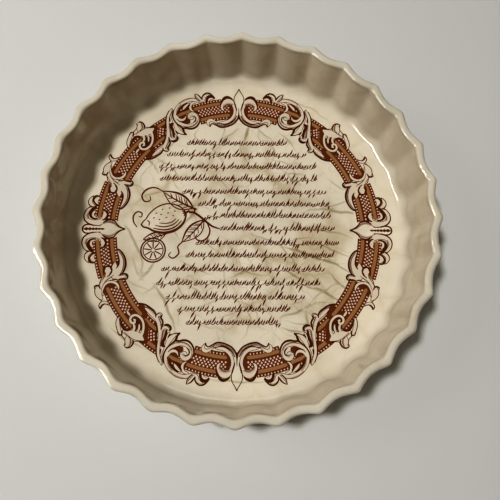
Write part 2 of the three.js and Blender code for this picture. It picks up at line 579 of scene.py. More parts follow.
def blankDish():
    # the smooth turned blank, with what the flutes need kept in attributes
    section = dishSection()
    lengths = [0.0]
    for (r0, z0, *_), (r1, z1, *_) in zip(section, section[1:]):
        lengths.append(lengths[-1] + math.hypot(r1 - r0, z1 - z0))
    heel = next(row for row, point in enumerate(section) if row and point[1] == 0)
    steps = dish["stepsPerFlute"]
    columns = dish["flutes"] * steps
    turns = []
    for column in range(columns):
        step = column % steps / steps
        phase = step - dish["ridgeCrowding"] * math.sin(2 * math.pi * step)
        turns.append((column // steps + phase) / dish["flutes"] * 2 * math.pi)
    rings = section[1:-1]
    points = [(0, 0, section[0][1]), (0, 0, section[-1][1])]
    shares = [0.0, 0.0]
    inwards = [0.0, 2.0]
    for radius, height, share, inward in rings:
        points.extend((radius * math.cos(a), radius * math.sin(a), height) for a in turns)
        shares.extend([share] * columns)
        inwards.extend([inward] * columns)
    faces = []
    corners = []

    def mapped(row, column):
        # the underside is one round chart; all the rest spreads out from the middle of the floor
        under = row < heel
        chart = dish["underChart"] if under else dish["mainChart"]
        size = lengths[heel] if under else lengths[-1] - lengths[heel]

        def spot(at, turn):
            reach = (lengths[at] if under else lengths[-1] - lengths[at]) / size * chart[2]
            return chart[0] + reach * math.cos(turn), chart[1] + reach * math.sin(turn)

        here, beyond = turns[column], turns[(column + 1) % columns]
        return [spot(row, here), spot(row, beyond), spot(row + 1, beyond), spot(row + 1, here)]

    for column in range(columns):
        after = (column + 1) % columns
        middle, _, right, left = mapped(0, column)
        faces.append((0, 2 + after, 2 + column))
        corners.extend((middle, right, left))
        for row in range(len(rings) - 1):
            here = 2 + row * columns
            faces.append((here + column, here + after, here + columns + after, here + columns + column))
            corners.extend(mapped(row + 1, column))
        last = 2 + (len(rings) - 1) * columns
        faces.append((last + column, last + after, 1))
        corners.extend(mapped(len(rings), column)[:3])
    mesh = bpy.data.meshes.new("blank")
    mesh.from_pydata(points, [], faces)
    uv = mesh.uv_layers.new(name="OFBake")
    uv.data.foreach_set("uv", [value for corner in corners for value in corner])
    mesh.attributes.new("share", "FLOAT", "POINT").data.foreach_set("value", shares)
    mesh.attributes.new("inward", "FLOAT", "POINT").data.foreach_set("value", inwards)
    return bpy.data.objects.new("blank", mesh)


def fluteTree():
    # draws the wall in between ridges, by a soft-cornered wave, and leaves it slightly uneven
    tree, given, put = startTree(
        "pressFlutes", "GeometryNodeTree",
        [("Geometry", "Geometry", None), ("Flutes", "Float", None), *socketRows(flutes),
         *socketRows(stains), ("Cracks", "Object", None), ("Material", "Material", None)],
        [("Geometry", "Geometry", None)])
    place = first(tree, "GeometryNodeInputPosition")
    apart = separate(tree, place)
    angle = calc(tree, "ARCTAN2", apart["Y"], apart["X"])
    wave = calc(tree, "SINE", times(tree, angle, given["Flutes"], 0.5))
    share, inward = (readBack(tree, name) for name in ("share", "inward"))
    # ridges are rounder on the side that wore most in the mould
    fromWorn = calc(tree, "COSINE", calc(tree, "SUBTRACT", angle, given["Worn Side"]))
    worn = remap(tree, fromWorn, given["Wear Starts"], given["Wear Full"], smooth=True)
    softness, wear = (remap(tree, inward, 0.0, 1.0, given["Outer " + what], given["Inner " + what])
                      for what in ("Softness", "Wear"))
    softness = calc(tree, "ADD", softness, times(tree, wear, worn))
    lower = remap(tree, inward, 1.0, given["Softest Inward"], 0.0, given["Low Softness"])
    softness = calc(tree, "ADD", softness, lower)
    wornLow = calc(tree, "ADD", 1.0, given["Worn Below"])
    lost = times(tree, remap(tree, inward, 1.0, wornLow, 0.0, given["Worn Depth"]), worn)

    def soft(value):
        squared = calc(tree, "ADD", times(tree, value, value), calc(tree, "POWER", softness, 2.0))
        return calc(tree, "SUBTRACT", calc(tree, "SQRT", squared), softness)

    bay = calc(tree, "DIVIDE", soft(wave), soft(1.0))
    bay = times(tree, bay, calc(tree, "SUBTRACT", 1.0, lost))
    lumps = noise(tree, place, given["Uneven Scale"], detail=1.0)[0]
    push = calc(tree, "ADD", times(tree, bay, given["Depth"]), times(tree, lumps, given["Unevenness"]))
    push = times(tree, push, share, -1.0)
    flat = combine(tree, X=apart["X"], Y=apart["Y"])
    offset = scaled(tree, vectorCalc(tree, "NORMALIZE", flat), push)
    pressed = first(tree, "GeometryNodeSetPosition", {"Geometry": given["Geometry"], "Offset": offset})
    marked = markCracks(tree, given, pressed, place, flat)
    smooth = first(tree, "GeometryNodeSetShadeSmooth", {"Geometry": marked})
    real = first(tree, "GeometryNodeRealizeInstances", {"Geometry": smooth})
    painted = first(tree, "GeometryNodeSetMaterial", {"Geometry": real, "Material": given["Material"]})
    tree.links.new(painted, put["Geometry"])
    return tree


def markCracks(tree, given, mesh, place, flat):
    # keeps for the glaze: the way from the nearest crack, how far its stain spreads, and where that counts
    lines = addNode(tree, "GeometryNodeObjectInfo", {"Object": given["Cracks"]})["Geometry"]
    spots = first(tree, "GeometryNodeCurveToPoints",
                  {"Curve": bentCurve(tree, lines), "Length": given["Crack Step"]}, mode="LENGTH")
    wander = centred(tree, noise(tree, place, given["Wander Scale"], detail=2.0)["Color"])
    wander = vectorCalc(tree, "MULTIPLY", wander, given["Crack Wander"])
    spots = first(tree, "GeometryNodeSetPosition", {"Geometry": spots, "Offset": wander})
    nearest = first(tree, "GeometryNodeSampleNearest", {"Geometry": spots, "Sample Position": flat})
    spot, reach = (
        first(tree, "GeometryNodeSampleIndex", {"Geometry": spots, "Value": value, "Index": nearest},
              data_type=kind)
        for value, kind in ((place, "FLOAT_VECTOR"), (first(tree, "GeometryNodeInputRadius"), "FLOAT")))
    spread = times(tree, reach, given["Crack Spread"])
    past = calc(tree, "ADD", times(tree, spread, given["Fade Share"]), given["Fade Reach"])
    near = remap(tree, vectorCalc(tree, "DISTANCE", flat, spot), spread, past, 1.0, 0.0)
    depth = calc(tree, "DIVIDE", times(tree, reach, 2.0), given["Darkest Width"])
    way = separate(tree, vectorCalc(tree, "SUBTRACT", flat, spot))
    way = combine(tree, X=way["X"], Y=way["Y"], Z=spread)
    marked = stored(tree, mesh, "crackNear", times(tree, near, depth))
    return stored(tree, marked, "crackWay", way, "FLOAT_VECTOR")


def strayCracks():
    # short faint ones scattered over the middle of the floor, most of them running across it
    chance = random.Random(stray["seed"])
    lines = []
    for i in range(stray["count"]):
        away = stray["within"] * math.sqrt(chance.random())
        turn = chance.uniform(0, 2 * math.pi)
        x, y = away * math.cos(turn), away * math.sin(turn)
        heading = math.radians(chance.gauss(*stray["heading"]))
        half = chance.uniform(*stray["length"]) / 2
        bow = chance.uniform(-stray["bow"], stray["bow"])
        width = chance.uniform(*stray["width"])
        tip = width * stray["tip"]
        dx, dy = half * math.cos(heading), half * math.sin(heading)
        lines.append([(x - dx, y - dy, tip), (x + dy * bow, y - dx * bow, width), (x + dx, y + dy, tip)])
    return lines


def makeDish():
    crackLines = drawn(cracks + strayCracks())
    scene.collection.objects.link(crackLines)
    piece = settle(blankDish(), "glazed_dish", fluteTree(), {
        "Flutes": float(dish["flutes"]), **flutes, **stains, "Cracks": crackLines, "Material": creamGlaze()})
    bpy.data.objects.remove(crackLines)
    for name in ("share", "inward"):
        piece.data.attributes.remove(piece.data.attributes[name])
    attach(piece, "root")
    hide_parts("dish")
    print("dish pressed:", len(piece.data.polygons), "faces")


# The print: thin raised shapes on the floor, drawn flat and then fired under the glaze.

printed = {
    "levelStep": 0.03 * mm,     # each layer of ink stands this much above the one below
    "sunk": 0.02 * mm,          # and reaches this far into the glaze
    "strokeStep": 0.0004 * mm,  # each stroke in a layer lies this much above the one before
    "mirrorStep": 0.0001 * mm,  # and each mirrored quarter above the first
    "turn": 0.669,              # degrees that the print sits askew on the flutes
    "offCentre": (-1.0 * mm, 0.1 * mm),
    "scale": 0.9945,
    "leafEdge": 0.36 * mm,      # dark outline round every pale leaf
    "thinnest": 0.04 * mm,      # half the width of the finest stroke
    "roundFrom": 0.3 * mm,      # strokes whose ends are wider than twice this get round ends
    "strokeBends": 5,           # steps from one drawn point of a stroke to the next
    "dotSides": 12,
    "mapWidth": 0.262,          # side of the square that the map of the print covers
}

printInputs = [
    ("Geometry", "Geometry", None), ("Top", "Float", None), ("Bottom", "Float", None),
    ("Fourfold", "Bool", True), ("Turn", "Float", 0.0), ("Scale", "Float", 1.0),
    ("Place", "Vector", None), ("Material", "Material", None)]


def tile(tree, given, sides, radius):
    # a flat disc with any number of sides, from the ink's underside to its top
    thickness = calc(tree, "SUBTRACT", given["Top"], given["Bottom"])
    middle = times(tree, calc(tree, "ADD", given["Top"], given["Bottom"]), 0.5)
    disc = addNode(tree, "GeometryNodeMeshCylinder",
                   {"Vertices": sides, "Radius": radius, "Depth": thickness})["Mesh"]
    return first(tree, "GeometryNodeTransform", {"Geometry": disc, "Translation": combine(tree, Z=middle)})


def flatRibbonGroup():
    # a curve whose radius is half the ink's width becomes a closed, flat, round-ended ribbon
    tree, given, put = startTree(
        "flatRibbon", "GeometryNodeTree",
        [("Curve", "Geometry", None), ("Top", "Float", None), ("Bottom", "Float", None),
         ("Round Ends", "Bool", True), ("Round From", "Float", printed["roundFrom"]),
         ("Stroke Step", "Float", printed["strokeStep"])],
        [("Mesh", "Geometry", None)])
    radius = first(tree, "GeometryNodeInputRadius")
    apart = separate(tree, first(tree, "GeometryNodeInputPosition"))
    # later strokes lie a hair above earlier ones, so that no two tops coincide
    strokeNumber = addNode(tree, "GeometryNodeCurveOfPoint")["Curve Index"]
    numbered = stored(tree, given["Curve"], "order", strokeNumber)
    upright = first(tree, "GeometryNodeSetCurveNormal", {"Curve": numbered}, mode="Z_UP")
    square = first(tree, "GeometryNodeCurvePrimitiveQuadrilateral", {"Width": 2.0, "Height": 2.0})
    sided = stored(tree, square, "underside", apart["Y"])
    swept = first(tree, "GeometryNodeCurveToMesh",
                  {"Curve": upright, "Profile Curve": sided, "Scale": radius, "Fill Caps": True})
    side, order = (readBack(tree, name) for name in ("underside", "order"))
    top = calc(tree, "ADD", times(tree, order, given["Stroke Step"]), given["Top"])
    height = remap(tree, side, -1.0, 1.0, top, given["Bottom"])
    level = combine(tree, X=apart["X"], Y=apart["Y"], Z=height)
    flat = first(tree, "GeometryNodeSetPosition", {"Geometry": swept, "Position": level})
    # a dot at each broad end, half a step above its own stroke
    ownHeight = times(tree, calc(tree, "SUBTRACT", order, 0.5), given["Stroke Step"])
    raised = first(tree, "GeometryNodeSetPosition",
                   {"Geometry": numbered, "Offset": combine(tree, Z=ownHeight)})
    ends = first(tree, "GeometryNodeCurveEndpointSelection")
    broad = first(tree, "FunctionNodeCompare", {"A": radius, "B": given["Round From"]}, data_type="FLOAT")
    chosen = first(tree, "FunctionNodeBooleanMath", {0: ends, 1: broad})
    chosen = first(tree, "FunctionNodeBooleanMath", {0: chosen, 1: given["Round Ends"]})
    dots = first(tree, "GeometryNodeInstanceOnPoints",
                 {"Points": raised, "Selection": chosen,
                  "Instance": tile(tree, given, printed["dotSides"], radius=1.0),
                  "Scale": combine(tree, X=radius, Y=radius, Z=1.0)})
    joined = first(tree, "GeometryNodeJoinGeometry")
    for part in (dots, flat):
        tree.links.new(part, joined.node.inputs[0])
    bare = first(tree, "GeometryNodeRealizeInstances", {"Geometry": joined})
    for name in ("order", "underside"):
        bare = first(tree, "GeometryNodeRemoveAttribute", {"Geometry": bare, "Name": name})
    tree.links.new(bare, put["Mesh"])
    return tree


def layOnFloorGroup():
    # repeats a quarter of the print in mirror, turns it a little askew and lays it on the floor
    tree, given, put = startTree(
        "layOnFloor", "GeometryNodeTree",
        [("Mesh", "Geometry", None), ("Fourfold", "Bool", True), ("Turn", "Float", 0.0),
         ("Scale", "Float", 1.0), ("Place", "Vector", None), ("Material", "Material", None)],
        [("Geometry", "Geometry", None)])
    around = first(tree, "GeometryNodeJoinGeometry")
    for sx, sy, steps in ((-1, -1, 1), (1, -1, 2), (-1, 1, 3)):
        copy = first(tree, "GeometryNodeTransform",
                     {"Geometry": given["Mesh"], "Scale": (sx, sy, 1),
                      "Translation": (0, 0, steps * printed["mirrorStep"])})
        if sx * sy < 0:
            copy = first(tree, "GeometryNodeFlipFaces", {"Mesh": copy})
        tree.links.new(copy, around.node.inputs[0])
    tree.links.new(given["Mesh"], around.node.inputs[0])
    chosen = first(tree, "GeometryNodeSwitch",
                   {"Switch": given["Fourfold"], "False": given["Mesh"], "True": around},
                   input_type="GEOMETRY")
    laid = first(tree, "GeometryNodeTransform",
                 {"Geometry": chosen, "Translation": given["Place"],
                  "Rotation": combine(tree, Z=given["Turn"]),
                  "Scale": combine(tree, X=given["Scale"], Y=given["Scale"], Z=1.0)})
    real = first(tree, "GeometryNodeRealizeInstances", {"Geometry": laid})
    flat = first(tree, "GeometryNodeSetShadeSmooth", {"Geometry": real, "Shade Smooth": False})
    painted = first(tree, "GeometryNodeSetMaterial", {"Geometry": flat, "Material": given["Material"]})
    tree.links.new(painted, put["Geometry"])
    return tree


def finishPrint(tree, given, put, mesh):
    passedOn = {label: given[label] for label in ("Fourfold", "Turn", "Scale", "Place", "Material")}
    laid = first(tree, "GeometryNodeGroup", {"Mesh": mesh, **passedOn}, node_tree=layOnFloor)
    tree.links.new(laid, put["Geometry"])


def ribbonOf(tree, given, curve, radius, roundEnds=True):
    inked = first(tree, "GeometryNodeSetCurveRadius", {"Curve": curve, "Radius": radius})
    return first(tree, "GeometryNodeGroup",
                 {"Curve": inked, "Top": given["Top"], "Bottom": given["Bottom"], "Round Ends": roundEnds},
                 node_tree=flatRibbon)


def inkStrokeTree():
    tree, given, put = startTree(
        "inkStroke", "GeometryNodeTree",
        printInputs + [("Spread", "Float", 0.0), ("Thinnest", "Float", printed["thinnest"]),
                       ("Bends", "Int", printed["strokeBends"]), ("Round Ends", "Bool", True)],
        [("Geometry", "Geometry", None)])
    fine = first(tree, "GeometryNodeSetSplineResolution",
                 {"Geometry": bentCurve(tree, given["Geometry"]), "Resolution": given["Bends"]})
    points = first(tree, "GeometryNodeResampleCurve", {"Curve": fine}, mode="EVALUATED")
    radius = calc(tree, "ADD", first(tree, "GeometryNodeInputRadius"), given["Spread"])
    radius = calc(tree, "MAXIMUM", radius, given["Thinnest"])
    finishPrint(tree, given, put, ribbonOf(tree, given, points, radius, given["Round Ends"]))
    return tree


def tileRow(tree, given, pitch, slant, sides, long, wide):
    # flat tiles set along each line, turned by the slant from its direction
    spots = addNode(tree, "GeometryNodeCurveToPoints",
                    {"Curve": bentCurve(tree, given["Geometry"]), "Length": pitch}, mode="LENGTH")
    along = first(tree, "FunctionNodeAlignRotationToVector", {"Vector": spots["Tangent"]},
                  axis="X", pivot_axis="Z")
    turned = first(tree, "FunctionNodeRotateRotation",
                   {"Rotation": along, "Rotate By": combine(tree, Z=slant)}, rotation_space="LOCAL")
    row = first(tree, "GeometryNodeInstanceOnPoints",
                {"Points": spots["Points"], "Instance": tile(tree, given, sides, radius=0.5),
                 "Rotation": turned, "Scale": combine(tree, X=long, Y=wide, Z=1.0)})
    return first(tree, "GeometryNodeRealizeInstances", {"Geometry": row})


def gemRowTree():
    # beads with eight sides, or lattice diamonds with four; the line's width is the pitch of the gems
    tree, given, put = startTree(
        "gemRow", "GeometryNodeTree",
        printInputs + [("Long", "Float", None), ("Wide", "Float", None), ("Sides", "Int", None)],
        [("Geometry", "Geometry", None)])
    pitch = times(tree, first(tree, "GeometryNodeInputRadius"), 2.0)
    row = tileRow(tree, given, pitch, 0.0, given["Sides"], given["Long"], given["Wide"])
    finishPrint(tree, given, put, row)
    return tree


hatching = {
    "Line": 0.3 * mm,
    "Pitch": 0.46 * mm,
    "Slant": 0.5,
    "Reach": 2.6,               # length of the lines, in half widths of the stroke
}


def hatchTree():
    # fine slanting lines across each stroke, as long as it is wide, the way an engraver shades
    tree, given, put = startTree(
        "hatchRow", "GeometryNodeTree", printInputs + socketRows(hatching),
        [("Geometry", "Geometry", None)])
    across = times(tree, first(tree, "GeometryNodeInputRadius"), given["Reach"])
    row = tileRow(tree, given, given["Pitch"], given["Slant"], 4, given["Line"], across)
    finishPrint(tree, given, put, row)
    return tree


vineSizes = {
    # inputs of the tree
    "Stem Step": 0.4 * mm,      # distance between the stem's points
    "Stem": 0.36 * mm,
    "Stem Swell": 0.4,
    "Wave Length": 3.4 * mm,
    "Wave Height": 0.4 * mm,
    "Drift Scale": 160.0,
    "Drift": 5.0,               # how unevenly the waves follow each other
    "Leaf Length": 3.7 * mm,
    "Leaf Width": 0.92 * mm,
    "Leaf Pitch": 1.65 * mm,
    "Leaf Bow": -0.12,
    "Leaf Belly": 0.8,          # under 1 it lies nearer the stem
    "Slant": 1.06,
    "Lean": 0.1,                # either way from the slant
    "Small Leaf": 0.75,
    "Large Leaf": 1.05,
    "Tall Share": 0.2,
    "Tall Growth": 0.8,
    "Tall Breadth": 0.15,
    "Down Share": 0.1,
    "Curl Turns": 1.2,
    "Curl Start": 0.3 * mm,
    "Curl End": 1.3 * mm,
    "Curl Width": 0.5 * mm,
    "Finest": 0.05 * mm,
}


def vineTree():
    # each line becomes a low waving stem with a curl at its start and leaves that all slant one way
    tree, given, put = startTree(
        "runningVine", "GeometryNodeTree", printInputs + [("Seed", "Int", None)] + socketRows(vineSizes),
        [("Geometry", "Geometry", None)])
    points = first(tree, "GeometryNodeResampleCurve",
                   {"Curve": given["Geometry"], "Length": given["Stem Step"]}, mode="LENGTH")
    along = addNode(tree, "GeometryNodeSplineParameter")["Length"]
    place = first(tree, "GeometryNodeInputPosition")
    drift = noise(tree, place, given["Drift Scale"], detail=0.0)[0]
    phase = times(tree, calc(tree, "DIVIDE", along, given["Wave Length"]), math.pi * 2)
    phase = calc(tree, "ADD", phase, times(tree, drift, given["Drift"]))
    rise = times(tree, calc(tree, "SINE", phase), given["Wave Height"])
    waved = first(tree, "GeometryNodeSetPosition", {"Geometry": points, "Offset": combine(tree, Y=rise)})
    swell = calc(tree, "ADD", times(tree, calc(tree, "COSINE", phase), given["Stem Swell"]), 1.0)
    stem = ribbonOf(tree, given, waved, times(tree, swell, given["Stem"], 0.5))

    def pointed(curve, width):
        # widest below the middle, nothing at both ends
        share = addNode(tree, "GeometryNodeSplineParameter")["Factor"]
        belly = calc(tree, "SINE", times(tree, calc(tree, "POWER", share, given["Leaf Belly"]), math.pi))
        half = calc(tree, "MAXIMUM", times(tree, belly, width, 0.5), given["Finest"])
        return ribbonOf(tree, given, curve, half, roundEnds=False)

    def chance(low, high, offset):
        seed = calc(tree, "ADD", given["Seed"], float(offset))
        return addNode(tree, "FunctionNodeRandomValue", {2: low, 3: high, "Seed": seed},
                       data_type="FLOAT")[1]

    long = given["Leaf Length"]
    leafMiddle = combine(tree, X=times(tree, long, 0.5), Y=times(tree, long, given["Leaf Bow"]))
    leafLine = first(tree, "GeometryNodeCurveQuadraticBezier",
                     {"Resolution": vines["leafSteps"], "Start": (0, 0, 0), "Middle": leafMiddle,
                      "End": combine(tree, X=long)})
    spots = first(tree, "GeometryNodeCurveToPoints", {"Curve": waved, "Length": given["Leaf Pitch"]},
                  mode="LENGTH")
    tall = calc(tree, "LESS_THAN", chance(0.0, 1.0, 1), given["Tall Share"])
    down = calc(tree, "LESS_THAN", chance(0.0, 1.0, 2), given["Down Share"])
    lean = chance(times(tree, given["Lean"], -1.0), given["Lean"], 3)
    lean = calc(tree, "ADD", lean, calc(tree, "ADD", given["Slant"], times(tree, down, math.pi)))
    taller = calc(tree, "ADD", 1.0, times(tree, tall, given["Tall Growth"]))
    grown = times(tree, chance(given["Small Leaf"], given["Large Leaf"], 4), taller)
    broad = calc(tree, "ADD", 1.0, times(tree, tall, given["Tall Breadth"]))
    leaves = first(tree, "GeometryNodeInstanceOnPoints",
                   {"Points": spots, "Instance": pointed(leafLine, given["Leaf Width"]),
                    "Rotation": combine(tree, Z=lean), "Scale": combine(tree, X=grown, Y=broad, Z=1.0)})
    curlLine = first(tree, "GeometryNodeCurveSpiral",
                     {"Resolution": vines["curlSteps"], "Rotations": given["Curl Turns"], "Height": 0.0,
                      "Start Radius": given["Curl Start"], "End Radius": given["Curl End"]})
    starts = first(tree, "GeometryNodeCurveEndpointSelection", {"Start Size": 1, "End Size": 0})
    curls = first(tree, "GeometryNodeInstanceOnPoints",
                  {"Points": waved, "Selection": starts, "Instance": pointed(curlLine, given["Curl Width"]),
                   "Rotation": (0.0, 0.0, vines["curlTurn"])})
    joined = first(tree, "GeometryNodeJoinGeometry")
    for part in (curls, leaves, stem):
        tree.links.new(part, joined.node.inputs[0])
    finishPrint(tree, given, put, first(tree, "GeometryNodeRealizeInstances", {"Geometry": joined}))
    return tree


def arcLine(radius, start, end, width, step=2.0):
    # an arc round the dish's middle; angles and step in degrees, from the top towards the right
    count = max(2, round((end - start) / step) + 1)
    turns = [math.radians(start + (end - start) * i / (count - 1)) for i in range(count)]
    return [(radius * math.sin(a), radius * math.cos(a), width) for a in turns]


def mapFromAbove(piece):
    # gives a print a flat map, as it is seen from above
    uv = piece.data.uv_layers.new(name="OFBake")
    for loop in piece.data.loops:
        place = piece.data.vertices[loop.vertex_index].co
        uv.data[loop.index].uv = (place.x / printed["mapWidth"] + 0.5, place.y / printed["mapWidth"] + 0.5)


def layPrint(name, lines, tree, level, material, **values):
    values = {label.replace("_", " "): value for label, value in values.items()}
    piece = settle(drawn(lines), name, tree, {
        "Top": printed["levelStep"] * (level + 1), "Bottom": -printed["sunk"],
        "Turn": math.radians(printed["turn"]), "Scale": printed["scale"],
        "Place": (*printed["offCentre"], dish["floorTop"]), "Material": material, **values})
    mapFromAbove(piece)
    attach(piece, "root")
    print("printed", name + ":", len(piece.data.polygons), "faces")


# The straps of lattice between the scrolls of one quarter. Angles are degrees from the top.

straps = {
    "groundOuter": (97.2, 8.2, ((7.5, 28), (32.2, 42), (45.8, 66.3), (69.5, 84.8))),
    "groundInner": (88.8, 9.0, ((2.6, 19), (36.6, 66), (72.8, 86))),
    "ribbonOuter": (97.6, 2.3, ((8, 19.3), (22, 27), (33.2, 37.6), (46.2, 64.4), (69.8, 85))),
    "ribbonInner": (87.8, 2.3, ((5, 18), (38.4, 44.2), (47.8, 65.2), (74.8, 85.6))),
    "beadsOuter": (100.2, ((8.2, 19.5), (32.8, 39), (46, 62), (70.4, 84.3))),
    "beadsInner": (85.7, ((5.9, 18), (41, 44.4), (51.6, 65), (75, 86))),
    "beadPitch": 2.02,
    "beadSize": (0.95, 1.25),   # along, across
    "looseBeads": ((42.7, 91.2), (37, 88.8), (38.2, 87.3)),
    "looseLine": (0.5, 4),      # length and width of a line that is too short for a second bead
    "lattice": ((4, 18.5), (34.6, 41), (50.6, 64), (73.4, 85.4)),
    "latticeRows": (90.85, 92.35, 93.85, 95.35),
    "latticePitch": 1.57,       # degrees
    "latticeSize": (1.55, 1.64),
    "latticeHair": 0.02,        # a share of the pitch
}


# What is drawn in one quarter of the border: x, y and the width of the stroke there, in millimetres.

